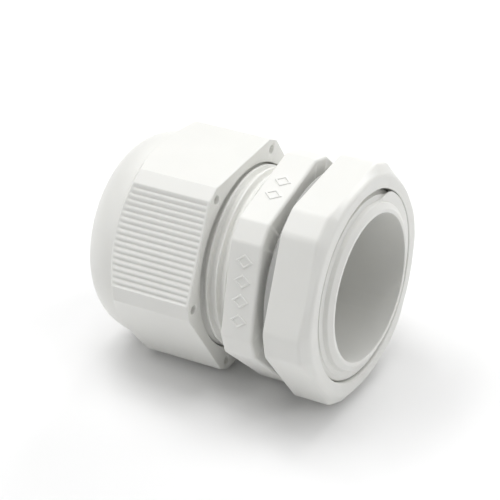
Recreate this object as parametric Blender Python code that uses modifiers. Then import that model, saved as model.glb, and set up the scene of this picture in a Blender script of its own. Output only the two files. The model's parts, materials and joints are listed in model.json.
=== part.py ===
"""Nylon cable gland: dome nut, clamping fingers, sealing insert, body, flat gasket and locknut.

The gland lies on its side with its axis level, along world +X. The dome nut, where the cable comes out, is
at the -X end and the entry thread is at +X. Every piece is built along its own +Z, and one empty on the
gland's axis turns that +Z to world +X. An axial station is a distance from the dome nut's rim, positive
towards the entry thread. Both threads are right-handed.
"""
import math

import bmesh
import bpy
from mathutils import Matrix

MM = 0.001

# Facets round every turned piece, and round each turn of a thread.
FACETS = 36
HALF_FACET = math.pi / FACETS
MERGE = 0.01 * MM
QUARTER_TURN = math.pi / 2

# Entry thread: 30 mm over its crests, 16 turns to the inch.
ENTRY_CREST_R = 15.0 * MM
ENTRY_ROOT_R = 14.25 * MM
ENTRY_PITCH = 25.4 / 16 * MM
ENTRY_START = 11.7 * MM
ENTRY_TURNS = 5.0

# Thread under the dome nut, also 16 turns to the inch.
CAP_THREAD_CREST_R = 14.6 * MM
CAP_THREAD_ROOT_R = 13.8 * MM
CAP_THREAD_PITCH = 25.4 / 16 * MM
CAP_THREAD_START = -5.04 * MM
CAP_THREAD_TURNS = 6.0

# A nut's internal ridge runs midway between the turns of the thread on the body, this many turns along from
# the body thread's start.
CAP_RIDGE_LEAD = -2.5
NUT_RIDGE_LEAD = 1.5

# A ridge is a trapezium: the widths are fractions of the pitch.
RIDGE_CREST_SHARE = 0.18
RIDGE_BASE_SHARE = 0.58
RIDGE_BURIED = 0.3 * MM

# Gland body.
BODY_BORE_R = 11.7 * MM
BODY_END = 21.25 * MM
BODY_NOSE_R = 12.6 * MM
BODY_NOSE_LENGTH = 0.95 * MM
BODY_NOSE_STEPS = 3
BODY_BORE_EDGE = 0.5 * MM
NECK_END = -6.7 * MM
NECK_SEAT_R = 12.2 * MM
NECK_SEAT_END = 0.0
NECK_EDGE = 0.4 * MM
FLANGE_START = 5.24 * MM
FLANGE_END = 10.56 * MM
FLANGE_FLATS = 33.1 * MM
FLANGE_CORNERS = 36.1 * MM
FLANGE_SPIN = math.radians(12.65)
FLANGE_EDGE = 0.5 * MM

# On the flange and the locknut, the gasket's seat lies a little below the rest of the clamping face.
GASKET_SEAT_R = 16.4 * MM
GASKET_SEAT_DEPTH = 0.05 * MM

# Dome nut.
CAP_FLATS = 33.1 * MM
CAP_CORNERS = 36.8 * MM
CAP_CORNER_END = -13.36 * MM
CAP_FLAT_END = -14.85 * MM
CAP_END = -21.25 * MM
CAP_END_R = 11.5 * MM
CAP_DOME_R = 16.54 * MM
CAP_DOME_STEPS = 6
CAP_OPENING_R = 11.0 * MM
CAP_OPENING_EDGE = 0.5 * MM
CAP_BORE_R = 14.85 * MM
CAP_BORE_END = -10.4 * MM
CAP_BORE_EDGE = 0.2 * MM
CAP_CONE_START = -14.0 * MM
CAP_CONE_START_R = 14.3 * MM
CAP_CONE_END = -18.2 * MM
CAP_CONE_END_R = 13.1 * MM
CAP_INNER_END = -19.8 * MM
CAP_RIDGE_CREST_R = 13.95 * MM
CAP_RIDGE_TURNS = 5.1
CAP_HOLE_R = 0.68 * MM
CAP_HOLE_DEPTH = 2.2 * MM
CAP_HOLE_CIRCLE_R = 16.85 * MM
CAP_HOLE_FACETS = 10

# Clamping fingers, each on a living hinge at the neck's end. They are straight with the dome nut all the way
# back, and bend inwards in step with it, so they are bent a little inwards at rest.
FINGER_COUNT = 12
FINGER_ARC = math.radians(24.7)
FINGER_ARC_STEPS = 4
FINGER_INNER_R = 12.55 * MM
FINGER_OUTER_R = 13.55 * MM
FINGER_ROOT = -7.0 * MM
FINGER_TIP = -13.6 * MM
FINGER_TIP_EDGE = 0.3 * MM
FINGER_FULL_BEND = math.radians(6.0)
CAP_TRAVEL_BACK = 5.0 * MM
CAP_TRAVEL_ON = 4.5 * MM
FINGER_REST_BEND = FINGER_FULL_BEND * CAP_TRAVEL_BACK / (CAP_TRAVEL_BACK + CAP_TRAVEL_ON)

# Sealing insert.
SEAL_BORE_R = 10.5 * MM
SEAL_R = 11.65 * MM
SEAL_END = -5.0 * MM
SEAL_HEAD_R = 12.7 * MM
SEAL_HEAD_START = -19.5 * MM
SEAL_HEAD_END = -18.4 * MM

# Flat gasket on the entry thread.
GASKET_BORE_R = 15.3 * MM
GASKET_R = 16.3 * MM
GASKET_START = 11.65 * MM
GASKET_END = 12.85 * MM

# Locknut.
NUT_FLATS = 35.0 * MM
NUT_CORNERS = 37.9 * MM
NUT_SPIN = math.radians(3.64)
NUT_START = 13.15 * MM
NUT_BEVEL_START = 18.65 * MM
NUT_END = 20.3 * MM
NUT_FACE_R = 17.0 * MM
NUT_BORE_R = 15.2 * MM
NUT_SINK_R = 15.95 * MM
NUT_SINK_START = 19.65 * MM
NUT_RIDGE_CREST_R = 14.5 * MM
NUT_RIDGE_TURNS = 3.1
NUT_EDGE = 0.3 * MM

SMOOTH_ANGLE = math.radians(30)
HEXAGON = 6
CUTTER_MARGIN = 2.0 * MM
TRIM_MARGIN = 0.2 * MM

NYLON = (0.80, 0.80, 0.77, 1.0)
NYLON_ROUGHNESS = 0.42
INSERT_RUBBER = (0.10, 0.10, 0.10, 1.0)
INSERT_RUBBER_ROUGHNESS = 0.75
GASKET_RUBBER = (0.33, 0.33, 0.32, 1.0)
GASKET_RUBBER_ROUGHNESS = 0.7


def corner_radius(flats, corners):
    """Distance from the axis to an edge where a flat meets a cut corner."""
    apothem = flats / 2
    corner_apothem = corners / 2
    half_turn = math.pi / HEXAGON
    along_flat = (corner_apothem - apothem * math.cos(half_turn)) / math.sin(half_turn)
    return math.hypot(apothem, along_flat)


def reach_below(flats, corners, spin):
    """How far a cut hexagon reaches below its axis when it is turned by spin from a flat facing down."""
    radius = corner_radius(flats, corners)
    half_flat = math.acos(flats / 2 / radius)
    return radius * math.cos(half_flat - abs(spin))


def new_collection(name):
    """A collection under the scene's own."""
    collection = bpy.data.collections.new(name)
    bpy.context.scene.collection.children.link(collection)
    return collection


def new_material(name, color, roughness):
    """A plain Principled material."""
    material = bpy.data.materials.new(name)
    material.use_nodes = True
    shader = material.node_tree.nodes["Principled BSDF"]
    shader.inputs["Base Color"].default_value = color
    shader.inputs["Roughness"].default_value = roughness
    shader.inputs["Metallic"].default_value = 0.0
    material.diffuse_color = color
    return material


def new_object(name, mesh, collection, parent):
    """An object in a collection, under a parent."""
    obj = bpy.data.objects.new(name, mesh)
    collection.objects.link(obj)
    obj.parent = parent
    return obj


def swept_loop(name, loop, angle, rise, steps, collection, parent):
    """A closed loop of (station, radius) points, turned about +Z by angle while it rises by rise."""
    mesh = bpy.data.meshes.new(name)
    shape = bmesh.new()
    points = [shape.verts.new((radius, 0.0, station)) for station, radius in loop]
    for index, point in enumerate(points):
        shape.edges.new((point, points[(index + 1) % len(points)]))
    shape.to_mesh(mesh)
    shape.free()
    obj = new_object(name, mesh, collection, parent)
    screw = obj.modifiers.new("Screw", "SCREW")
    screw.axis = "Z"
    screw.angle = angle
    screw.screw_offset = rise
    screw.steps = steps
    screw.render_steps = steps
    screw.use_merge_vertices = rise == 0.0
    screw.merge_threshold = MERGE
    settle(obj)
    return obj


def settle(obj):
    """Turns an object's modifiers into its mesh, closes open ends and points every face outwards."""
    bpy.context.view_layer.update()
    evaluated = obj.evaluated_get(bpy.context.evaluated_depsgraph_get())
    mesh = bpy.data.meshes.new_from_object(evaluated)
    obj.modifiers.clear()
    shape = bmesh.new()
    shape.from_mesh(mesh)
    open_edges = [edge for edge in shape.edges if edge.is_boundary]
    bmesh.ops.holes_fill(shape, edges=open_edges)
    bmesh.ops.recalc_face_normals(shape, faces=shape.faces)
    shape.to_mesh(mesh)
    shape.free()
    mesh.shade_smooth()
    mesh.set_sharp_from_angle(angle=SMOOTH_ANGLE)
    mesh.name = obj.name
    obj.data = mesh


def turned(name, profile, collection, parent):
    """A solid of revolution from a closed profile of (station, radius) points."""
    return swept_loop(name, profile, math.tau, 0.0, FACETS, collection, parent)


def ridge(name, start, pitch, turns, crest_r, base_r, cutters, parent):
    """A helical thread ridge that starts at an axial station, with its base buried in the piece it is on.

    It is turned half a facet, so that its edges fall between the edges of that piece.
    """
    crest = pitch * RIDGE_CREST_SHARE / 2
    base = pitch * RIDGE_BASE_SHARE / 2
    buried = base + (base - crest) * RIDGE_BURIED / abs(crest_r - base_r)
    buried_r = base_r - math.copysign(RIDGE_BURIED, crest_r - base_r)
    loop = [
        (start - buried, buried_r),
        (start - crest, crest_r),
        (start + crest, crest_r),
        (start + buried, buried_r),
    ]
    steps = round(turns * FACETS)
    thread = swept_loop(name, loop, math.tau * turns, pitch * turns, steps, cutters, parent)
    thread.rotation_euler.z = HALF_FACET
    return thread


def hexagon_prism(name, width, start, end, spin, cutters, parent):
    """A hexagonal prism with one of its flats facing up when spin is 0."""
    mesh = bpy.data.meshes.new(name)
    shape = bmesh.new()
    radius = width / 2 / math.cos(math.pi / HEXAGON)
    place = Matrix.Translation((0.0, 0.0, (start + end) / 2)) @ Matrix.Rotation(spin, 4, "Z")
    bmesh.ops.create_cone(
        shape,
        cap_ends=True,
        segments=HEXAGON,
        radius1=radius,
        radius2=radius,
        depth=end - start,
        matrix=place,
    )
    shape.to_mesh(mesh)
    shape.free()
    return new_object(name, mesh, cutters, parent)


def combine(obj, other, operation):
    """Adds one Boolean to an object and hides the other object as a cutter."""
    other.hide_render = True
    other.display_type = "WIRE"
    boolean = obj.modifiers.new(other.name, "BOOLEAN")
    boolean.operation = operation
    boolean.solver = "EXACT"
    boolean.object = other


def cut_hexagon(obj, flats, corners, start, end, spin, cutters, parent):
    """Trims a turned solid to a hexagon with cut corners."""
    low = start - CUTTER_MARGIN
    high = end + CUTTER_MARGIN
    flat_prism = hexagon_prism(obj.name + "_flats", flats, low, high, spin, cutters, parent)
    corner_spin = spin + math.pi / HEXAGON
    corner_prism = hexagon_prism(obj.name + "_corners", corners, low, high, corner_spin, cutters, parent)
    combine(obj, flat_prism, "INTERSECT")
    combine(obj, corner_prism, "INTERSECT")


def finish(obj, material):
    """Settles a part's Booleans and gives it its material."""
    settle(obj)
    obj.data.materials.clear()
    obj.data.materials.append(material)


def gland_body(parts, cutters, axis, material):
    """Threaded neck, hexagonal flange and entry thread, with the cable bore through them."""
    flange_r = corner_radius(FLANGE_FLATS, FLANGE_CORNERS)
    nose_start = BODY_END - BODY_NOSE_LENGTH
    nose_rise = ENTRY_ROOT_R - BODY_NOSE_R
    nose = []
    for step in range(BODY_NOSE_STEPS + 1):
        turn = QUARTER_TURN * step / BODY_NOSE_STEPS
        station = nose_start + BODY_NOSE_LENGTH * math.cos(turn)
        nose.append((station, BODY_NOSE_R + nose_rise * math.sin(turn)))
    profile = nose + [
        (FLANGE_END - GASKET_SEAT_DEPTH, ENTRY_ROOT_R),
        (FLANGE_END - GASKET_SEAT_DEPTH, GASKET_SEAT_R),
        (FLANGE_END, GASKET_SEAT_R),
        (FLANGE_END, flange_r - FLANGE_EDGE),
        (FLANGE_END - FLANGE_EDGE, flange_r + FLANGE_EDGE),
        (FLANGE_START + FLANGE_EDGE, flange_r + FLANGE_EDGE),
        (FLANGE_START, flange_r - FLANGE_EDGE),
        (FLANGE_START, CAP_THREAD_ROOT_R),
        (NECK_END + NECK_EDGE, CAP_THREAD_ROOT_R),
        (NECK_END, CAP_THREAD_ROOT_R - NECK_EDGE),
        (NECK_END, NECK_SEAT_R),
        (NECK_SEAT_END, NECK_SEAT_R),
        (NECK_SEAT_END, BODY_BORE_R),
        (BODY_END - BODY_BORE_EDGE, BODY_BORE_R),
        (BODY_END, BODY_BORE_R + BODY_BORE_EDGE),
    ]
    body = turned("gland_body", profile, parts, axis)
    cut_hexagon(body, FLANGE_FLATS, FLANGE_CORNERS, NECK_END, BODY_END, FLANGE_SPIN, cutters, axis)
    entry = ridge(
        "entry_thread",
        ENTRY_START,
        ENTRY_PITCH,
        ENTRY_TURNS,
        ENTRY_CREST_R,
        ENTRY_ROOT_R,
        cutters,
        axis,
    )
    neck = ridge(
        "neck_thread",
        CAP_THREAD_START,
        CAP_THREAD_PITCH,
        CAP_THREAD_TURNS,
        CAP_THREAD_CREST_R,
        CAP_THREAD_ROOT_R,
        cutters,
        axis,
    )
    combine(body, entry, "UNION")
    combine(body, neck, "UNION")
    finish(body, material)


def rim_hole(index, turn, cutters, axis):
    """Cutter for one of the small blind holes in the dome nut's rim."""
    name = f"rim_hole_{index + 1}"
    mesh = bpy.data.meshes.new(name)
    shape = bmesh.new()
    bmesh.ops.create_cone(
        shape,
        cap_ends=True,
        segments=CAP_HOLE_FACETS,
        radius1=CAP_HOLE_R,
        radius2=CAP_HOLE_R,
        depth=2 * CAP_HOLE_DEPTH,
    )
    shape.to_mesh(mesh)
    shape.free()
    hole = new_object(name, mesh, cutters, axis)
    hole.location = (CAP_HOLE_CIRCLE_R * math.cos(turn), CAP_HOLE_CIRCLE_R * math.sin(turn), 0.0)
    return hole


def dome_nut(parts, cutters, axis, material):
    """Hexagonal cap with chamfered corners, a round dome, an inner cone and an internal thread."""
    outer_r = corner_radius(CAP_FLATS, CAP_CORNERS) + TRIM_MARGIN
    profile = [(0.0, CAP_BORE_R + CAP_BORE_EDGE), (0.0, outer_r), (CAP_CORNER_END, outer_r)]
    dome_length = CAP_FLAT_END - CAP_END
    dome_rise = CAP_DOME_R - CAP_END_R
    for step in range(CAP_DOME_STEPS + 1):
        turn = QUARTER_TURN * step / CAP_DOME_STEPS
        station = CAP_FLAT_END - dome_length * math.sin(turn)
        profile.append((station, CAP_END_R + dome_rise * math.cos(turn)))
    profile += [
        (CAP_END + CAP_OPENING_EDGE, CAP_OPENING_R),
        (CAP_INNER_END, CAP_OPENING_R),
        (CAP_INNER_END, CAP_CONE_END_R),
        (CAP_CONE_END, CAP_CONE_END_R),
        (CAP_CONE_START, CAP_CONE_START_R),
        (CAP_BORE_END, CAP_BORE_R),
        (-CAP_BORE_EDGE, CAP_BORE_R),
    ]
    cap = turned("dome_nut", profile, parts, axis)
    cut_hexagon(cap, CAP_FLATS, CAP_CORNERS, CAP_END, 0.0, 0.0, cutters, axis)
    thread = ridge(
        "dome_nut_thread",
        CAP_THREAD_START + CAP_RIDGE_LEAD * CAP_THREAD_PITCH,
        CAP_THREAD_PITCH,
        CAP_RIDGE_TURNS,
        CAP_RIDGE_CREST_R,
        CAP_BORE_R,
        cutters,
        axis,
    )
    combine(cap, thread, "UNION")
    for index in range(HEXAGON):
        turn = math.tau * (index + 0.5) / HEXAGON
        combine(cap, rim_hole(index, turn, cutters, axis), "DIFFERENCE")
    finish(cap, material)


def clamping_fingers(parts, axis, material):
    """The ring of fingers round the sealing insert, each with its origin on its own living hinge."""
    hinge_r = (FINGER_INNER_R + FINGER_OUTER_R) / 2
    profile = [
        (FINGER_ROOT, FINGER_OUTER_R),
        (FINGER_TIP + FINGER_TIP_EDGE, FINGER_OUTER_R),
        (FINGER_TIP, FINGER_OUTER_R - FINGER_TIP_EDGE),
        (FINGER_TIP, FINGER_INNER_R),
        (FINGER_ROOT, FINGER_INNER_R),
    ]
    to_hinge = Matrix.Translation((-hinge_r, 0.0, -FINGER_ROOT)) @ Matrix.Rotation(-FINGER_ARC / 2, 4, "Z")
    for index in range(FINGER_COUNT):
        spoke = bpy.data.objects.new(f"finger_{index + 1:02d}_spoke", None)
        parts.objects.link(spoke)
        spoke.parent = axis
        spoke.rotation_euler.z = math.tau * index / FINGER_COUNT
        name = f"clamping_finger_{index + 1:02d}"
        finger = swept_loop(name, profile, FINGER_ARC, 0.0, FINGER_ARC_STEPS, parts, spoke)
        finger.data.transform(to_hinge)
        finger.location = (hinge_r, 0.0, FINGER_ROOT)
        finger.rotation_euler.y = FINGER_REST_BEND
        finger.data.materials.append(material)


def sealing_insert(parts, axis, material):
    """Rubber sleeve round the cable, with a head that the dome nut pushes on."""
    profile = [
        (SEAL_END, SEAL_R),
        (SEAL_HEAD_END, SEAL_R),
        (SEAL_HEAD_END, SEAL_HEAD_R),
        (SEAL_HEAD_START, SEAL_HEAD_R),
        (SEAL_HEAD_START, SEAL_BORE_R),
        (SEAL_END, SEAL_BORE_R),
    ]
    seal = turned("sealing_insert", profile, parts, axis)
    seal.data.materials.append(material)


def flat_gasket(parts, axis, material):
    """Washer that seals the panel, loose on the entry thread."""
    profile = [
        (GASKET_END, GASKET_R),
        (GASKET_START, GASKET_R),
        (GASKET_START, GASKET_BORE_R),
        (GASKET_END, GASKET_BORE_R),
    ]
    gasket = turned("flat_gasket", profile, parts, axis)
    gasket.data.materials.append(material)


def locknut(parts, cutters, axis, material):
    """Hexagonal nut with a bevelled outer face, a countersink and an internal thread."""
    outer_r = corner_radius(NUT_FLATS, NUT_CORNERS) + TRIM_MARGIN
    profile = [
        (NUT_END, NUT_FACE_R),
        (NUT_BEVEL_START, outer_r),
        (NUT_START + NUT_EDGE, outer_r),
        (NUT_START, outer_r - NUT_EDGE),
        (NUT_START, GASKET_SEAT_R),
        (NUT_START + GASKET_SEAT_DEPTH, GASKET_SEAT_R),
        (NUT_START + GASKET_SEAT_DEPTH, NUT_BORE_R + NUT_EDGE),
        (NUT_START + NUT_EDGE, NUT_BORE_R),
        (NUT_SINK_START, NUT_BORE_R),
        (NUT_END, NUT_SINK_R),
    ]
    nut = turned("locknut", profile, parts, axis)
    cut_hexagon(nut, NUT_FLATS, NUT_CORNERS, NUT_START, NUT_END, NUT_SPIN, cutters, axis)
    thread = ridge(
        "locknut_thread",
        ENTRY_START + NUT_RIDGE_LEAD * ENTRY_PITCH,
        ENTRY_PITCH,
        NUT_RIDGE_TURNS,
        NUT_RIDGE_CREST_R,
        NUT_BORE_R,
        cutters,
        axis,
    )
    combine(nut, thread, "UNION")
    finish(nut, material)


def main():
    """Builds the whole gland, resting on z = 0 at the locknut."""
    for old in list(bpy.data.objects):
        bpy.data.objects.remove(old, do_unlink=True)
    parts = new_collection("cable_gland")
    cutters = new_collection("cable_gland_cutters")
    axis = bpy.data.objects.new("gland_axis", None)
    parts.objects.link(axis)
    axis.location = (0.0, 0.0, reach_below(NUT_FLATS, NUT_CORNERS, NUT_SPIN))
    axis.rotation_euler = (0.0, QUARTER_TURN, 0.0)
    nylon = new_material("light_grey_nylon", NYLON, NYLON_ROUGHNESS)
    insert_rubber = new_material("insert_rubber", INSERT_RUBBER, INSERT_RUBBER_ROUGHNESS)
    gasket_rubber = new_material("gasket_rubber", GASKET_RUBBER, GASKET_RUBBER_ROUGHNESS)
    gland_body(parts, cutters, axis, nylon)
    dome_nut(parts, cutters, axis, nylon)
    clamping_fingers(parts, axis, nylon)
    sealing_insert(parts, axis, insert_rubber)
    flat_gasket(parts, axis, gasket_rubber)
    locknut(parts, cutters, axis, nylon)


main()
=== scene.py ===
"""Looks of the cable gland: finely moulded nylon pieces, rubber seals, a pale floor and soft light.

The gland's axis runs along +X. A station is a distance in millimetres along it from the dome nut's rim. A
bearing is an angle about the axis, measured from straight up towards +Y. Each moulded piece is one closed
grid: a profile of (station, radius) points is worked out at every bearing of the piece's outline.
"""
import json
import math

import bmesh
import bpy
import numpy as np
from mathutils import Matrix, Vector


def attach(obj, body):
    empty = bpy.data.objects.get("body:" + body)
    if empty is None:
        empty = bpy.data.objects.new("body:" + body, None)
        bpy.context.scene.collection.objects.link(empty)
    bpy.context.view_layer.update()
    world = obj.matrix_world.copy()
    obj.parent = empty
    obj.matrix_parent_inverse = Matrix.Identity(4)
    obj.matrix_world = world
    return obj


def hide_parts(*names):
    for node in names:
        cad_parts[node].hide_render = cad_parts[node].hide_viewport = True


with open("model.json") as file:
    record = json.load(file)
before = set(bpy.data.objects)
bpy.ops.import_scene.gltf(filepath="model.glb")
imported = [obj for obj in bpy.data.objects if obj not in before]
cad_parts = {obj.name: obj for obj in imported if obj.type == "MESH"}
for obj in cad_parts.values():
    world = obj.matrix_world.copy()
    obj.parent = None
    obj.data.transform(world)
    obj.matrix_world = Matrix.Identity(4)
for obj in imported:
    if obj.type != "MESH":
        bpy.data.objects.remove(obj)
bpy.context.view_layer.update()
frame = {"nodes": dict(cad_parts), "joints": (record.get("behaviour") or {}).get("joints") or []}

MM = 0.001
JOINTS = {joint["name"]: joint for joint in frame["joints"]}
AXIS_HEIGHT = JOINTS["cap_turn"]["pos_m"][2]
QUARTER_TURN = math.pi / 2

# Camera: where it stands as seen from the dome nut's rim, its small tilt, and the point that it looks at.
CAMERA_AZIMUTH = math.radians(31.24)
CAMERA_ELEVATION = math.radians(32.42)
CAMERA_ROLL = math.radians(3.02)
CAMERA_DISTANCE = 0.3278
CAMERA_LENS = 151.5
CAMERA_SHIFT_RIGHT = 0.15 * MM
CAMERA_SHIFT_UP = 0.79 * MM
CAMERA_NEAR = 0.01
CAMERA_FAR = 10.0

# Square soft lights: the azimuth and elevation in degrees where each stands, and its power in watts.
LIGHT_SIZE = 0.35
LIGHT_DISTANCE = 0.8
LIGHTS = (
    ("light_overhead", 0.0, 90.0, 1.88),
    ("light_high_right", 120.0, 60.0, 0.67),
    ("light_high_left", 240.0, 60.0, 1.58),
    ("light_high_front_left", 300.0, 60.0, 1.23),
    ("light_low_right", 90.0, 28.0, 0.92),
    ("light_low_back_right", 135.0, 28.0, 0.63),
    ("light_low_back", 180.0, 28.0, 1.92),
    ("light_low_front_left", 315.0, 28.0, 0.68),
)
SURROUND_COLOR = (1.0, 1.0, 1.0, 1.0)
SURROUND_STRENGTH = 0.2
FLOOR_HALF_SIZE = 2.0
FLOOR_COLOR = (0.93, 0.93, 0.93, 1.0)
FLOOR_ROUGHNESS = 0.8
FLOOR_SPECULAR = 0.2

# A hexagon with cut corners has 12 sides: wide flats and narrow corner sides in turn.
SIDES = 12
SIDE_TURN = math.tau / SIDES
WIDE_STEPS = 12
NARROW_STEPS = 4
CORNER_STEPS = 4
ROUND_STEPS = 144

# Small roundings of a profile's corners, and how finely an arc is divided: a few steps, and more for each
# millimetre of rounding. An arc takes up at most this share of the shorter side next to it.
FINE_EDGE = 0.1
CRISP_EDGE = 0.15
SOFT_EDGE = 0.2
ARC_STEPS = 2
ARC_STEPS_PER_MM = 4
ARC_ROOM_SHARE = 0.49
NO_ROOM = 1e-6
STRAIGHT_TURN = 1e-4

# Points closer than this, in metres, are merged, and edges shorter than this are dissolved.
MERGE_DISTANCE = 1e-7
DEGENERATE_LENGTH = 1e-8
NORMAL_WEIGHT = 50

# The thread under the dome nut and the entry thread: both have 16 turns to the inch.
NECK_PITCH = 25.4 / 16
NECK_THREAD_START = -5.04
NECK_THREAD_TURNS = 6.0
NECK_ROOT_R = 13.8
NECK_CREST_R = 14.6
ENTRY_PITCH = 25.4 / 16
ENTRY_THREAD_START = 11.7
ENTRY_THREAD_TURNS = 5.45
ENTRY_ROOT_R = 14.25
ENTRY_CREST_R = 15.0
RIDGE_CREST_SHARE = 0.18
RIDGE_BASE_SHARE = 0.62
RIDGE_RUN_OUT = 0.06
ROWS_PER_TURN = 14
NUT_RIDGE_LEAD = 1.5
CAP_RIDGE_LEAD = -2.5

# How near to a threaded surface's radius a point must be to belong to it.
RADIUS_MATCH = 0.01

# Dome nut.
CAP_APOTHEM = 16.55
CAP_CORNER_APOTHEM = 18.4
CAP_CORNER_ROUNDING = 0.3
CAP_RIM_ROUNDING = 0.35
CAP_CHAMFER_START = (-13.5, 18.4)
CAP_CHAMFER_END = (-14.85, 16.5)
CAP_DOME_END = (-21.25, 11.6)
CAP_DOME_STEPS = 16
CAP_DOME_POWER = 1.93
CAP_OPENING_R = 11.0
CAP_OPENING_END = -19.8
CAP_CONE = ((-18.2, 13.1), (-14.0, 14.3))
CAP_BORE_START = -10.4
CAP_BORE_R = 14.85
CAP_BORE_LIP = 0.08
CAP_BORE_LIP_ROUNDING = 0.05
CAP_OPENING_ROUNDING = 0.4
CAP_RIDGE_R = 13.95
CAP_THREAD_START = NECK_THREAD_START + CAP_RIDGE_LEAD * NECK_PITCH
CAP_THREAD_TURNS = 5.1

# Grip ribs on every other flat of the dome nut: grooves between smooth borders.
RIBBED_SIDES = (2, 6, 10)
RIB_COUNT = 17
RIB_PITCH = 0.948
RIB_DEPTH = 0.23
RIB_HALF_WIDTH = 0.32
RIB_OFFSET = -0.1
GROOVE_SECTION = ((-1.0, 0.0), (-0.5, 0.7), (0.0, 1.0), (0.5, 0.7), (1.0, 0.0))
GROOVE_BORDER = 0.4
GROOVE_RUN_IN = 0.2
GROOVE_FADE = 0.6
GROOVE_ROWS = 3
GROOVE_END_BORDER = 0.2

# Blind holes in the dome nut's rim, one at each corner.
HOLE_COUNT = 6
HOLE_R = 0.7
HOLE_DEPTH = 2.0
HOLE_CIRCLE_R = 16.85
HOLE_LIP = 0.06
HOLE_STEPS = 28

# Gland body.
FLANGE_APOTHEM = 16.57
FLANGE_CORNER_APOTHEM = 18.1
FLANGE_CORNER_ROUNDING = 1.2
FLANGE_SPIN = math.radians(-12.65)
FLANGE_START = 5.24
FLANGE_END = 10.56
FLANGE_START_ROUNDING = 0.25
FLANGE_END_ROUNDING = 0.5
BORE_R = 11.7
BORE_ROWS = 2
NECK_END = -6.7
NECK_SEAT_R = 12.2
NECK_BEVEL = 0.4
NOSE_START = 19.95
NOSE_BASE = (20.05, 13.35)
NOSE_BEVEL_START = (20.75, 13.15)
NOSE_BEVEL_ROUNDING = 0.3
NOSE_R = 12.3
NOSE_ROWS = 8
ENTRY_RIDGE_LIMIT = 20.45
BODY_END = 21.25

# Locknut.
NUT_APOTHEM = 17.5
NUT_CORNER_APOTHEM = 18.95
NUT_CORNER_ROUNDING = 2.6
NUT_SPIN = math.radians(-3.64)
NUT_START = 13.1
NUT_END = 20.3
NUT_BEVEL_START = 19.05
NUT_FACE_R = 17.3
NUT_SINK_START = 20.1
NUT_SINK_R = 15.3
NUT_BORE_R = 15.2
NUT_BORE_BEVEL = 0.3
NUT_BEVEL_ROUNDING = 0.8
NUT_FACE_ROUNDING = 1.2
NUT_RIDGE_R = 14.5
NUT_THREAD_START = ENTRY_THREAD_START + NUT_RIDGE_LEAD * ENTRY_PITCH
NUT_THREAD_TURNS = 3.1

# Clamping fingers, straight; the finger's own joint says how far it is bent at rest.
FINGER_ROOT = -7.0
FINGER_TIP = -13.6
FINGER_INNER_R = 12.55
FINGER_OUTER_R = 13.55
FINGER_HALF_ARC = math.radians(12.35)
FINGER_EDGE = 0.12
FINGER_TIP_ROUNDING = 0.3
FINGER_STEPS = 10
FINGER_EDGE_STEPS = 3

# Sealing insert and flat gasket.
SEAL_R = 11.65
SEAL_BORE_R = 10.5
SEAL_HEAD_R = 12.7
SEAL_END = -5.0
SEAL_HEAD_END = -18.4
SEAL_HEAD_START = -19.5
SEAL_END_ROUNDING = 0.3
SEAL_MOUTH_ROUNDING = 0.4
GASKET_START = 11.65
GASKET_END = 12.85
GASKET_BORE_R = 15.3
GASKET_R = 16.3
GASKET_OUTER_ROUNDING = 0.25

# Plain raised lozenges on two of the flange's flats.
MARK_STATION = 7.9
MARK_HALF_WIDTH = 1.45
MARK_HALF_LENGTH = 1.15
MARK_PITCH = 3.1
MARK_STROKE = 0.42
MARK_HEIGHT = 0.13
MARK_SUNK = 0.2
MARK_CORNERS = 4
MARK_BEVEL = 0.05
MARK_BEVEL_SEGMENTS = 2
MARK_ROWS = (("raised_marks_front", 10, 4), ("raised_marks_top", 0, 2))

# Moulded surfaces: (features to the metre, detail) of each noise, and the strength and depth of each bump.
MOTTLING_NOISE = (140.0, 4.0)
GLOSS_NOISE = (420.0, 5.0)
WAVE_NOISE = (90.0, 1.0)
GRAIN_NOISE = (4200.0, 3.0)
GLOSS_SPREAD = 0.07
WAVE_STRENGTH = 0.25
WAVE_DEPTH = 0.12 * MM
GRAIN_DEPTH = 0.02 * MM
SUBSURFACE_RADIUS = (1.0, 0.95, 0.85)
SUBSURFACE_DEPTH = 0.6 * MM

# Light and dark colour, roughness, subsurface share and grain strength of each material.
NYLON_LOOK = ((0.84, 0.84, 0.81), (0.80, 0.80, 0.77), 0.42, 0.1, 0.12)
INSERT_LOOK = ((0.055, 0.055, 0.055), (0.035, 0.035, 0.035), 0.62, 0.0, 0.4)
GASKET_LOOK = ((0.46, 0.46, 0.45), (0.40, 0.40, 0.39), 0.6, 0.0, 0.4)


def at(station, radius, bearing):
    """The point of the row frame, in metres, at a station, radius and bearing."""
    return (
        station * MM,
        radius * math.sin(bearing) * MM,
        AXIS_HEIGHT + radius * math.cos(bearing) * MM,
    )


def side_end(neighbour, apothem, rounding):
    """How far a side's straight stretch runs from its middle towards a neighbouring side."""
    corner_at = (neighbour - apothem * math.cos(SIDE_TURN)) / math.sin(SIDE_TURN)
    return corner_at - rounding * math.tan(SIDE_TURN / 2)


def side_stations(low, high, side, ribbed):
    """Places along a side's straight stretch, with the share of the groove depth that each has."""
    if side not in ribbed:
        steps = WIDE_STEPS if side % 2 == 0 else NARROW_STEPS
        return [(low + (high - low) * step / steps, 0.0) for step in range(steps + 1)]
    places = [(low, 0.0)]
    for rib in range(RIB_COUNT):
        middle = (rib - (RIB_COUNT - 1) / 2) * RIB_PITCH + RIB_OFFSET
        for offset, share in GROOVE_SECTION:
            along = middle + offset * RIB_HALF_WIDTH
            if low < along < high:
                places.append((along, share))
    places.append((high, 0.0))
    return places


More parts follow.
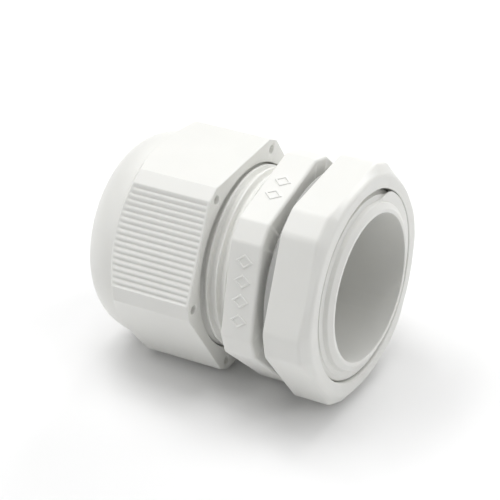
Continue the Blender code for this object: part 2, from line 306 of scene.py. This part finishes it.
def hexagon_outline(apothem, corner_apothem, rounding, spin, ribbed=()):
    """Bearings round a hexagon with cut, rounded corners: (bearing, radius, groove share) for each."""
    apothems = [apothem if side % 2 == 0 else corner_apothem for side in range(SIDES)]
    outline = []
    for side in range(SIDES):
        facing = spin + side * SIDE_TURN
        inner = apothems[side] - rounding
        before = side_end(apothems[side - 1], apothems[side], rounding)
        after = side_end(apothems[(side + 1) % SIDES], apothems[side], rounding)
        for along, share in side_stations(-before, after, side, ribbed):
            radius = math.hypot(apothems[side], along)
            outline.append((facing + math.atan2(along, apothems[side]), radius, share))
        centre_along = side_end(apothems[(side + 1) % SIDES] - rounding, inner, 0.0)
        for step in range(1, CORNER_STEPS):
            turn = SIDE_TURN * step / CORNER_STEPS
            out = inner + rounding * math.cos(turn)
            along = centre_along + rounding * math.sin(turn)
            outline.append((facing + math.atan2(along, out), math.hypot(out, along), 0.0))
    return outline


def round_outline():
    """Bearings round a plain turned piece."""
    return [(math.tau * step / ROUND_STEPS, 0.0, 0.0) for step in range(ROUND_STEPS)]


def corner(station, radius, rounding=0.0, rows_after=0):
    """A corner of a profile, how far it is rounded, and how many rows follow it."""
    return station, radius, rounding, rows_after


def fillet(before, middle, after, rounding):
    """Points of the arc that rounds a profile's corner; a short side makes the arc smaller."""
    if rounding == 0.0:
        return [middle]
    steps = ARC_STEPS + round(rounding * ARC_STEPS_PER_MM)
    tip = np.array(middle, float)
    back = np.array(before, float) - tip
    ahead = np.array(after, float) - tip
    room = ARC_ROOM_SHARE * min(np.linalg.norm(back), np.linalg.norm(ahead))
    if room < NO_ROOM:
        return [middle] * (steps + 1)
    back /= np.linalg.norm(back)
    ahead /= np.linalg.norm(ahead)
    half = math.acos(float(np.clip(back @ ahead, -1.0, 1.0))) / 2
    if QUARTER_TURN - half < STRAIGHT_TURN:
        return [middle] * (steps + 1)
    reach = min(rounding / math.tan(half), room)
    radius = reach * math.tan(half)
    centre = tip + (back + ahead) / np.linalg.norm(back + ahead) * radius / math.sin(half)
    start = tip + back * reach - centre
    end = tip + ahead * reach - centre
    sweep = math.pi - 2 * half
    points = []
    for step in range(steps + 1):
        share = step / steps
        blend = math.sin((1 - share) * sweep) * start + math.sin(share * sweep) * end
        points.append(tuple(centre + blend / math.sin(sweep)))
    return points


def rounded_profile(corners):
    """The closed profile through a list of corners."""
    arcs = []
    for index, (station, radius, rounding, _) in enumerate(corners):
        before = corners[index - 1][:2]
        after = corners[(index + 1) % len(corners)][:2]
        arcs.append(fillet(before, (station, radius), after, rounding))
    points = []
    for index, arc in enumerate(arcs):
        points += arc
        start = arc[-1]
        end = arcs[(index + 1) % len(arcs)][0]
        count = corners[index][3]
        for row in range(1, count + 1):
            share = row / (count + 1)
            points.append(tuple(start[axis] + (end[axis] - start[axis]) * share for axis in range(2)))
    return points


def thread_rows(length, pitch):
    """How many rows a threaded stretch of a profile needs."""
    return round(length / pitch * ROWS_PER_TURN)


def ridge_height(station, bearing, start, pitch, turns):
    """Height, from 0 to 1, of a right-handed thread ridge at a station and bearing."""
    turned = ((math.pi - bearing) / math.tau) % 1.0
    phase = (station - start) / pitch - turned
    nearest = round(phase)
    progress = nearest + turned
    run_out = min(progress, turns - progress) / RIDGE_RUN_OUT
    off_centre = abs(phase - nearest) * 2
    slope = (RIDGE_BASE_SHARE - off_centre) / (RIDGE_BASE_SHARE - RIDGE_CREST_SHARE)
    share = min(max(slope, 0.0), 1.0) * min(max(run_out, 0.0), 1.0)
    return share * share * (3 - 2 * share)


def add_mesh(name, vertices, faces, material):
    """A mesh object in the scene, with its material."""
    mesh = bpy.data.meshes.new(name)
    mesh.from_pydata(vertices, [], faces)
    mesh.materials.append(material)
    piece = bpy.data.objects.new(name, mesh)
    bpy.context.scene.collection.objects.link(piece)
    return piece


def grid_mesh(name, columns, material, closed=True):
    """One closed surface over columns of points; an arc that isn't closed gets an end face on each side."""
    height = len(columns[0])
    width = len(columns)
    vertices = [point for column in columns for point in column]
    faces = []
    for column in range(width if closed else width - 1):
        here = column * height
        beside = (column + 1) % width * height
        for row in range(height):
            above = (row + 1) % height
            faces.append((here + row, here + above, beside + above, beside + row))
    if not closed:
        last = (width - 1) * height
        faces.append(tuple(range(height)))
        faces.append(tuple(last + row for row in reversed(range(height))))
    return add_mesh(name, vertices, faces, material)


def face_outwards(piece):
    """Points every face of a closed piece outwards."""
    surface = bmesh.new()
    surface.from_mesh(piece.data)
    bmesh.ops.recalc_face_normals(surface, faces=surface.faces)
    surface.to_mesh(piece.data)
    surface.free()


def tidy_surface(piece):
    """Merges points that coincide, points faces outwards and shades smoothly, with flats kept flat."""
    surface = bmesh.new()
    surface.from_mesh(piece.data)
    bmesh.ops.remove_doubles(surface, verts=surface.verts, dist=MERGE_DISTANCE)
    bmesh.ops.dissolve_degenerate(surface, edges=surface.edges, dist=DEGENERATE_LENGTH)
    bmesh.ops.recalc_face_normals(surface, faces=surface.faces)
    surface.to_mesh(piece.data)
    surface.free()
    piece.data.shade_smooth()
    weighted = piece.modifiers.new("Weighted Normal", "WEIGHTED_NORMAL")
    weighted.mode = "FACE_AREA"
    weighted.weight = NORMAL_WEIGHT
    weighted.keep_sharp = True


def moulded_piece(name, outline, profile_at, relief_at, material):
    """One closed mesh from a profile at each bearing of an outline."""
    columns = []
    for bearing, radius, share in outline:
        column = []
        for station, point_radius in profile_at(radius, share):
            column.append(at(station, relief_at(station, point_radius, bearing), bearing))
        columns.append(column)
    piece = grid_mesh(name, columns, material)
    tidy_surface(piece)
    return piece


def place(piece, node):
    """Makes a piece ride on the body of the CAD node that it replaces; the two share a name here."""
    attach(piece, node)
    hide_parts(node)


def no_relief(station, radius, bearing):
    """A piece with no thread."""
    return radius


def chamfer_station(radius, start, end):
    """Station at which a chamfer's cone has a radius."""
    return start[0] + (start[1] - radius) / (start[1] - end[1]) * (end[0] - start[0])


def dome_nut_profile(radius, share):
    """Profile of the dome nut where its hexagon has this radius and a groove this share of its depth."""
    chamfer = chamfer_station(radius, CAP_CHAMFER_START, CAP_CHAMFER_END)
    groove_end = chamfer + GROOVE_END_BORDER
    groove_r = radius - RIB_DEPTH * share
    corners = [
        corner(0.0, CAP_BORE_R + CAP_BORE_LIP, CAP_BORE_LIP_ROUNDING),
        corner(0.0, radius, CAP_RIM_ROUNDING),
        corner(-GROOVE_BORDER, radius),
        corner(-GROOVE_BORDER - GROOVE_RUN_IN, groove_r, rows_after=GROOVE_ROWS),
        corner(groove_end + GROOVE_FADE, groove_r),
        corner(groove_end, radius),
        corner(chamfer, radius, CRISP_EDGE),
        corner(*CAP_CHAMFER_END, SOFT_EDGE),
    ]
    length = CAP_CHAMFER_END[0] - CAP_DOME_END[0]
    rise = CAP_CHAMFER_END[1] - CAP_DOME_END[1]
    for step in range(1, CAP_DOME_STEPS + 1):
        turn = QUARTER_TURN * step / CAP_DOME_STEPS
        along = math.sin(turn) ** (2 / CAP_DOME_POWER)
        out = math.cos(turn) ** (2 / CAP_DOME_POWER)
        corners.append(corner(CAP_CHAMFER_END[0] - length * along, CAP_DOME_END[1] + rise * out))
    cone_end, cone_start = CAP_CONE
    corners += [
        corner(CAP_DOME_END[0], CAP_OPENING_R, CAP_OPENING_ROUNDING),
        corner(CAP_OPENING_END, CAP_OPENING_R, FINE_EDGE),
        corner(CAP_OPENING_END, cone_end[1], SOFT_EDGE),
        corner(*cone_end, SOFT_EDGE),
        corner(*cone_start, SOFT_EDGE),
        corner(CAP_BORE_START, CAP_BORE_R, rows_after=thread_rows(-CAP_BORE_START, NECK_PITCH)),
        corner(-CAP_BORE_LIP, CAP_BORE_R),
    ]
    return rounded_profile(corners)


def dome_nut_relief(station, radius, bearing):
    """The dome nut's inner thread."""
    if abs(radius - CAP_BORE_R) > RADIUS_MATCH:
        return radius
    ridge = ridge_height(station, bearing, CAP_THREAD_START, NECK_PITCH, CAP_THREAD_TURNS)
    return radius - (CAP_BORE_R - CAP_RIDGE_R) * ridge


def cut_rim_holes(cap, material):
    """Cuts the blind holes, each with a small bevelled lip, into the dome nut's rim."""
    section = (
        (HOLE_LIP, HOLE_R + 2 * HOLE_LIP),
        (-HOLE_LIP, HOLE_R),
        (-HOLE_DEPTH + HOLE_LIP, HOLE_R),
        (-HOLE_DEPTH, HOLE_R - HOLE_LIP),
    )
    vertices = []
    faces = []
    for hole in range(HOLE_COUNT):
        _, across, up = at(0.0, HOLE_CIRCLE_R, math.tau * (hole + 0.5) / HOLE_COUNT)
        first = len(vertices)
        for station, radius in section:
            for step in range(HOLE_STEPS):
                turn = math.tau * step / HOLE_STEPS
                side = radius * math.cos(turn) * MM
                rise = radius * math.sin(turn) * MM
                vertices.append((station * MM, across + side, up + rise))
        for ring in range(len(section) - 1):
            for step in range(HOLE_STEPS):
                near = first + ring * HOLE_STEPS
                far = near + HOLE_STEPS
                beside = (step + 1) % HOLE_STEPS
                faces.append((near + step, near + beside, far + beside, far + step))
        last = first + (len(section) - 1) * HOLE_STEPS
        faces.append(tuple(first + step for step in reversed(range(HOLE_STEPS))))
        faces.append(tuple(last + step for step in range(HOLE_STEPS)))
    cutter = add_mesh("hole_cutter", vertices, faces, material)
    face_outwards(cutter)
    boolean = cap.modifiers.new("Rim holes", "BOOLEAN")
    boolean.operation = "DIFFERENCE"
    boolean.solver = "EXACT"
    boolean.object = cutter
    bpy.context.view_layer.update()
    evaluated = cap.evaluated_get(bpy.context.evaluated_depsgraph_get())
    cut = bpy.data.meshes.new_from_object(evaluated)
    cap.modifiers.clear()
    cap.data = cut
    bpy.data.objects.remove(cutter)
    tidy_surface(cap)


def body_profile(radius, share):
    """Profile of the gland body where its flange has this radius."""
    neck_rows = thread_rows(FLANGE_START - NECK_END, NECK_PITCH)
    entry_rows = thread_rows(NOSE_START - FLANGE_END, ENTRY_PITCH)
    return rounded_profile(
        [
            corner(NECK_END, NECK_SEAT_R, CRISP_EDGE),
            corner(NECK_END, NECK_ROOT_R - NECK_BEVEL),
            corner(NECK_END + NECK_BEVEL, NECK_ROOT_R, rows_after=neck_rows),
            corner(FLANGE_START, NECK_ROOT_R),
            corner(FLANGE_START, radius, FLANGE_START_ROUNDING),
            corner(FLANGE_END, radius, FLANGE_END_ROUNDING),
            corner(FLANGE_END, ENTRY_ROOT_R, rows_after=entry_rows),
            corner(NOSE_START, ENTRY_ROOT_R, FINE_EDGE),
            corner(*NOSE_BASE, FINE_EDGE, rows_after=NOSE_ROWS),
            corner(*NOSE_BEVEL_START, NOSE_BEVEL_ROUNDING),
            corner(BODY_END, NOSE_R, SOFT_EDGE),
            corner(BODY_END, BORE_R, FINE_EDGE, rows_after=BORE_ROWS),
            corner(0.0, BORE_R, FINE_EDGE),
            corner(0.0, NECK_SEAT_R, FINE_EDGE),
        ]
    )


def body_relief(station, radius, bearing):
    """The gland body's two outside threads."""
    if abs(radius - NECK_ROOT_R) < RADIUS_MATCH and station < FLANGE_START:
        ridge = ridge_height(station, bearing, NECK_THREAD_START, NECK_PITCH, NECK_THREAD_TURNS)
        return radius + (NECK_CREST_R - NECK_ROOT_R) * ridge
    threaded = FLANGE_END < station < ENTRY_RIDGE_LIMIT
    if threaded and NOSE_BEVEL_START[1] < radius < ENTRY_ROOT_R + RADIUS_MATCH:
        ridge = ridge_height(station, bearing, ENTRY_THREAD_START, ENTRY_PITCH, ENTRY_THREAD_TURNS)
        return radius + (ENTRY_CREST_R - radius) * ridge
    return radius


def raised_marks(name, side, count, material):
    """A row of plain lozenge outlines that stand a little proud of one of the flange's flats."""
    facing = FLANGE_SPIN + side * SIDE_TURN
    outward = Vector((0.0, math.sin(facing), math.cos(facing)))
    along = Vector((0.0, math.cos(facing), -math.sin(facing)))
    surface = Vector(at(MARK_STATION, FLANGE_APOTHEM, facing))
    inner_share = 1 - MARK_STROKE / min(MARK_HALF_WIDTH, MARK_HALF_LENGTH)
    slope = MARK_HEIGHT / MARK_HALF_LENGTH / 2
    rings = (
        (1.0, -MARK_SUNK),
        (1.0, 0.0),
        (1.0 - slope, MARK_HEIGHT),
        (inner_share + slope, MARK_HEIGHT),
        (inner_share, 0.0),
        (inner_share, -MARK_SUNK),
    )
    piece_vertices = []
    piece_faces = []
    for mark in range(count):
        middle = surface + along * ((mark - (count - 1) / 2) * MARK_PITCH * MM)
        first = len(piece_vertices)
        for quarter in range(MARK_CORNERS):
            turn = QUARTER_TURN * quarter
            for scale, height in rings:
                point = middle + outward * (height * MM)
                point += along * (MARK_HALF_LENGTH * scale * math.cos(turn) * MM)
                point += Vector((MARK_HALF_WIDTH * scale * math.sin(turn) * MM, 0.0, 0.0))
                piece_vertices.append(tuple(point))
        count_rings = len(rings)
        for quarter in range(MARK_CORNERS):
            here = first + quarter * count_rings
            beside = first + (quarter + 1) % MARK_CORNERS * count_rings
            for ring in range(count_rings):
                above = (ring + 1) % count_rings
                piece_faces.append((here + ring, here + above, beside + above, beside + ring))
    marks = add_mesh(name, piece_vertices, piece_faces, material)
    face_outwards(marks)
    bevel = marks.modifiers.new("Soft edges", "BEVEL")
    bevel.width = MARK_BEVEL * MM
    bevel.segments = MARK_BEVEL_SEGMENTS
    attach(marks, "gland_body")


def locknut_profile(radius, share):
    """Profile of the locknut where its hexagon has this radius."""
    bore_rows = thread_rows(NUT_SINK_START - NUT_START, ENTRY_PITCH)
    return rounded_profile(
        [
            corner(NUT_START, NUT_BORE_R + NUT_BORE_BEVEL, FINE_EDGE),
            corner(NUT_START, radius, CRISP_EDGE, rows_after=1),
            corner(NUT_BEVEL_START, radius, NUT_BEVEL_ROUNDING),
            corner(NUT_END, NUT_FACE_R, NUT_FACE_ROUNDING),
            corner(NUT_END, NUT_SINK_R, FINE_EDGE),
            corner(NUT_SINK_START, NUT_BORE_R, rows_after=bore_rows),
            corner(NUT_START + NUT_BORE_BEVEL, NUT_BORE_R),
        ]
    )


def locknut_relief(station, radius, bearing):
    """The locknut's inner thread."""
    if abs(radius - NUT_BORE_R) > RADIUS_MATCH:
        return radius
    ridge = ridge_height(station, bearing, NUT_THREAD_START, ENTRY_PITCH, NUT_THREAD_TURNS)
    return radius - (NUT_BORE_R - NUT_RIDGE_R) * ridge


def seal_profile(radius, share):
    """Profile of the sealing insert."""
    return rounded_profile(
        [
            corner(SEAL_END, SEAL_BORE_R, SEAL_END_ROUNDING),
            corner(SEAL_END, SEAL_R, SEAL_END_ROUNDING),
            corner(SEAL_HEAD_END, SEAL_R, SOFT_EDGE),
            corner(SEAL_HEAD_END, SEAL_HEAD_R, SOFT_EDGE),
            corner(SEAL_HEAD_START, SEAL_HEAD_R, SEAL_END_ROUNDING),
            corner(SEAL_HEAD_START, SEAL_BORE_R, SEAL_MOUTH_ROUNDING),
        ]
    )


def gasket_profile(radius, share):
    """Profile of the flat gasket."""
    return rounded_profile(
        [
            corner(GASKET_START, GASKET_BORE_R, SOFT_EDGE),
            corner(GASKET_START, GASKET_R, GASKET_OUTER_ROUNDING),
            corner(GASKET_END, GASKET_R, GASKET_OUTER_ROUNDING),
            corner(GASKET_END, GASKET_BORE_R, SOFT_EDGE),
        ]
    )


def clamping_finger(joint, material):
    """A finger with rounded edges, bent inwards about its joint's axis as far as it is at rest."""
    hinge = Vector(joint["pos_m"])
    bearing = math.atan2(hinge.y, hinge.z - AXIS_HEIGHT)
    edge_turn = FINGER_EDGE / FINGER_OUTER_R
    places = []
    for step in range(FINGER_EDGE_STEPS + 1):
        turn = QUARTER_TURN * step / FINGER_EDGE_STEPS
        offset = -FINGER_HALF_ARC + edge_turn * (1 - math.cos(turn))
        places.append((offset, FINGER_EDGE * (1 - math.sin(turn))))
    rounded_side = list(places)
    inner_arc = FINGER_HALF_ARC - edge_turn
    for step in range(1, FINGER_STEPS):
        places.append((inner_arc * (2 * step / FINGER_STEPS - 1), 0.0))
    places += [(-offset, inset) for offset, inset in reversed(rounded_side)]
    columns = []
    for offset, inset in places:
        profile = rounded_profile(
            [
                corner(FINGER_ROOT - inset, FINGER_OUTER_R - inset, FINGER_EDGE),
                corner(FINGER_TIP + inset, FINGER_OUTER_R - inset, FINGER_TIP_ROUNDING, rows_after=1),
                corner(FINGER_TIP + inset, FINGER_INNER_R + inset, FINGER_EDGE),
                corner(FINGER_ROOT - inset, FINGER_INNER_R + inset, FINGER_EDGE),
            ]
        )
        columns.append([at(station, radius, bearing + offset) for station, radius in profile])
    name = joint["child"]
    finger = grid_mesh("moulded_" + name, columns, material, closed=False)
    bend = Matrix.Rotation(-math.radians(joint["range_deg"][0]), 4, Vector(joint["axis"]))
    finger.data.transform(Matrix.Translation(hinge) @ bend @ Matrix.Translation(-hinge))
    tidy_surface(finger)
    place(finger, name)


def noise(nodes, links, coordinates, size):
    """A noise texture in object space; size is its features to the metre and its detail."""
    scale, detail = size
    texture = nodes.new("ShaderNodeTexNoise")
    texture.inputs["Scale"].default_value = scale
    texture.inputs["Detail"].default_value = detail
    links.new(coordinates.outputs["Object"], texture.inputs["Vector"])
    return texture


def bump(nodes, links, height, strength, depth):
    """A bump from a noise texture; depth is in metres."""
    node = nodes.new("ShaderNodeBump")
    node.inputs["Strength"].default_value = strength
    node.inputs["Distance"].default_value = depth
    links.new(height.outputs["Fac"], node.inputs["Height"])
    return node


def moulded_material(name, look):
    """Moulded plastic or rubber: faint mottling, uneven gloss, soft waves and a fine grain."""
    light, dark, roughness, subsurface, grain = look
    material = bpy.data.materials.new(name)
    material.use_nodes = True
    nodes = material.node_tree.nodes
    links = material.node_tree.links
    shader = nodes["Principled BSDF"]
    coordinates = nodes.new("ShaderNodeTexCoord")
    mottling = noise(nodes, links, coordinates, MOTTLING_NOISE)
    colors = nodes.new("ShaderNodeMix")
    colors.data_type = "RGBA"
    colors.inputs["A"].default_value = (*dark, 1.0)
    colors.inputs["B"].default_value = (*light, 1.0)
    links.new(mottling.outputs["Fac"], colors.inputs["Factor"])
    links.new(colors.outputs["Result"], shader.inputs["Base Color"])
    gloss = noise(nodes, links, coordinates, GLOSS_NOISE)
    gloss_range = nodes.new("ShaderNodeMapRange")
    gloss_range.inputs["To Min"].default_value = roughness - GLOSS_SPREAD
    gloss_range.inputs["To Max"].default_value = roughness + GLOSS_SPREAD
    links.new(gloss.outputs["Fac"], gloss_range.inputs["Value"])
    links.new(gloss_range.outputs["Result"], shader.inputs["Roughness"])
    waves = noise(nodes, links, coordinates, WAVE_NOISE)
    wave_bump = bump(nodes, links, waves, WAVE_STRENGTH, WAVE_DEPTH)
    fine = noise(nodes, links, coordinates, GRAIN_NOISE)
    grain_bump = bump(nodes, links, fine, grain, GRAIN_DEPTH)
    links.new(wave_bump.outputs["Normal"], grain_bump.inputs["Normal"])
    links.new(grain_bump.outputs["Normal"], shader.inputs["Normal"])
    shader.inputs["Subsurface Weight"].default_value = subsurface
    shader.inputs["Subsurface Radius"].default_value = SUBSURFACE_RADIUS
    shader.inputs["Subsurface Scale"].default_value = SUBSURFACE_DEPTH
    return material


def direction(azimuth, elevation):
    """The unit vector from the gland towards an azimuth and elevation."""
    return Vector(
        (
            math.sin(azimuth) * math.cos(elevation),
            -math.cos(azimuth) * math.cos(elevation),
            math.sin(elevation),
        )
    )


def add_camera():
    """The photograph's viewpoint, slightly rolled because the gland leans on the floor."""
    azimuth = CAMERA_AZIMUTH
    elevation = CAMERA_ELEVATION
    right = Vector((math.cos(azimuth), math.sin(azimuth), 0.0))
    toward = direction(azimuth, elevation)
    up = toward.cross(right)
    camera_right = right * math.cos(CAMERA_ROLL) - up * math.sin(CAMERA_ROLL)
    camera_up = right * math.sin(CAMERA_ROLL) + up * math.cos(CAMERA_ROLL)
    spot = Vector((0.0, 0.0, AXIS_HEIGHT)) + toward * CAMERA_DISTANCE
    spot += camera_right * CAMERA_SHIFT_RIGHT + camera_up * CAMERA_SHIFT_UP
    rotation = Matrix((camera_right, camera_up, toward)).transposed()
    data = bpy.data.cameras.new("camera")
    data.lens = CAMERA_LENS
    data.clip_start = CAMERA_NEAR
    data.clip_end = CAMERA_FAR
    camera = bpy.data.objects.new("camera", data)
    bpy.context.scene.collection.objects.link(camera)
    camera.matrix_world = Matrix.Translation(spot) @ rotation.to_4x4()
    bpy.context.scene.camera = camera


def resting_plane():
    """Height at station 0 and slope of the plane that the gland lies on, from the CAD's lowest points."""
    points = np.concatenate(
        [np.array([v.co for v in node.data.vertices]) for node in frame["nodes"].values()]
    )
    cap_end = CAP_CHAMFER_END[0] * MM
    cap_height = AXIS_HEIGHT - CAP_APOTHEM * MM
    ahead = points[points[:, 0] > 0.0]
    slope = float(np.max((cap_height - ahead[:, 2]) / (ahead[:, 0] - cap_end)))
    return cap_height + slope * cap_end, slope


def add_floor():
    """A large pale floor, tilted so that the gland rests on it."""
    height, slope = resting_plane()
    half = FLOOR_HALF_SIZE
    corners = [(-half, -half), (half, -half), (half, half), (-half, half)]
    mesh = bpy.data.meshes.new("floor")
    mesh.from_pydata([(x, y, height - slope * x) for x, y in corners], [], [(0, 1, 2, 3)])
    floor = bpy.data.objects.new("floor", mesh)
    bpy.context.scene.collection.objects.link(floor)
    material = bpy.data.materials.new("floor_white")
    material.use_nodes = True
    shader = material.node_tree.nodes["Principled BSDF"]
    shader.inputs["Base Color"].default_value = FLOOR_COLOR
    shader.inputs["Roughness"].default_value = FLOOR_ROUGHNESS
    shader.inputs["Specular IOR Level"].default_value = FLOOR_SPECULAR
    mesh.materials.append(material)


def add_lights():
    """Square soft lights round the gland, and an even pale surround."""
    middle = Vector((0.0, 0.0, AXIS_HEIGHT))
    for name, azimuth, elevation, power in LIGHTS:
        data = bpy.data.lights.new(name, "AREA")
        data.shape = "SQUARE"
        data.size = LIGHT_SIZE
        data.energy = power
        light = bpy.data.objects.new(name, data)
        bpy.context.scene.collection.objects.link(light)
        out = direction(math.radians(azimuth), math.radians(elevation))
        light.location = middle + out * LIGHT_DISTANCE
        light.rotation_euler = (-out).to_track_quat("-Z", "Y").to_euler()
    world = bpy.data.worlds.new("surround")
    bpy.context.scene.world = world
    world.use_nodes = True
    background = world.node_tree.nodes["Background"]
    background.inputs["Color"].default_value = SURROUND_COLOR
    background.inputs["Strength"].default_value = SURROUND_STRENGTH
    bpy.context.scene.view_settings.view_transform = "Standard"


def main():
    """Builds every piece, the camera, the floor and the light."""
    nylon = moulded_material("moulded_nylon", NYLON_LOOK)
    insert_rubber = moulded_material("insert_rubber", INSERT_LOOK)
    gasket_rubber = moulded_material("gasket_rubber", GASKET_LOOK)
    cap_outline = hexagon_outline(
        CAP_APOTHEM, CAP_CORNER_APOTHEM, CAP_CORNER_ROUNDING, 0.0, RIBBED_SIDES
    )
    flange_outline = hexagon_outline(
        FLANGE_APOTHEM, FLANGE_CORNER_APOTHEM, FLANGE_CORNER_ROUNDING, FLANGE_SPIN
    )
    nut_outline = hexagon_outline(NUT_APOTHEM, NUT_CORNER_APOTHEM, NUT_CORNER_ROUNDING, NUT_SPIN)
    cap = moulded_piece("moulded_dome_nut", cap_outline, dome_nut_profile, dome_nut_relief, nylon)
    cut_rim_holes(cap, nylon)
    place(cap, "dome_nut")
    body = moulded_piece("moulded_gland_body", flange_outline, body_profile, body_relief, nylon)
    place(body, "gland_body")
    nut = moulded_piece("moulded_locknut", nut_outline, locknut_profile, locknut_relief, nylon)
    place(nut, "locknut")
    seal = moulded_piece("rubber_sealing_insert", round_outline(), seal_profile, no_relief, insert_rubber)
    place(seal, "sealing_insert")
    gasket = moulded_piece("rubber_flat_gasket", round_outline(), gasket_profile, no_relief, gasket_rubber)
    place(gasket, "flat_gasket")
    for name, joint in JOINTS.items():
        if name.startswith("finger_flex"):
            clamping_finger(joint, nylon)
    for name, side, count in MARK_ROWS:
        raised_marks(name, side, count, nylon)
    add_camera()
    add_floor()
    add_lights()


main()
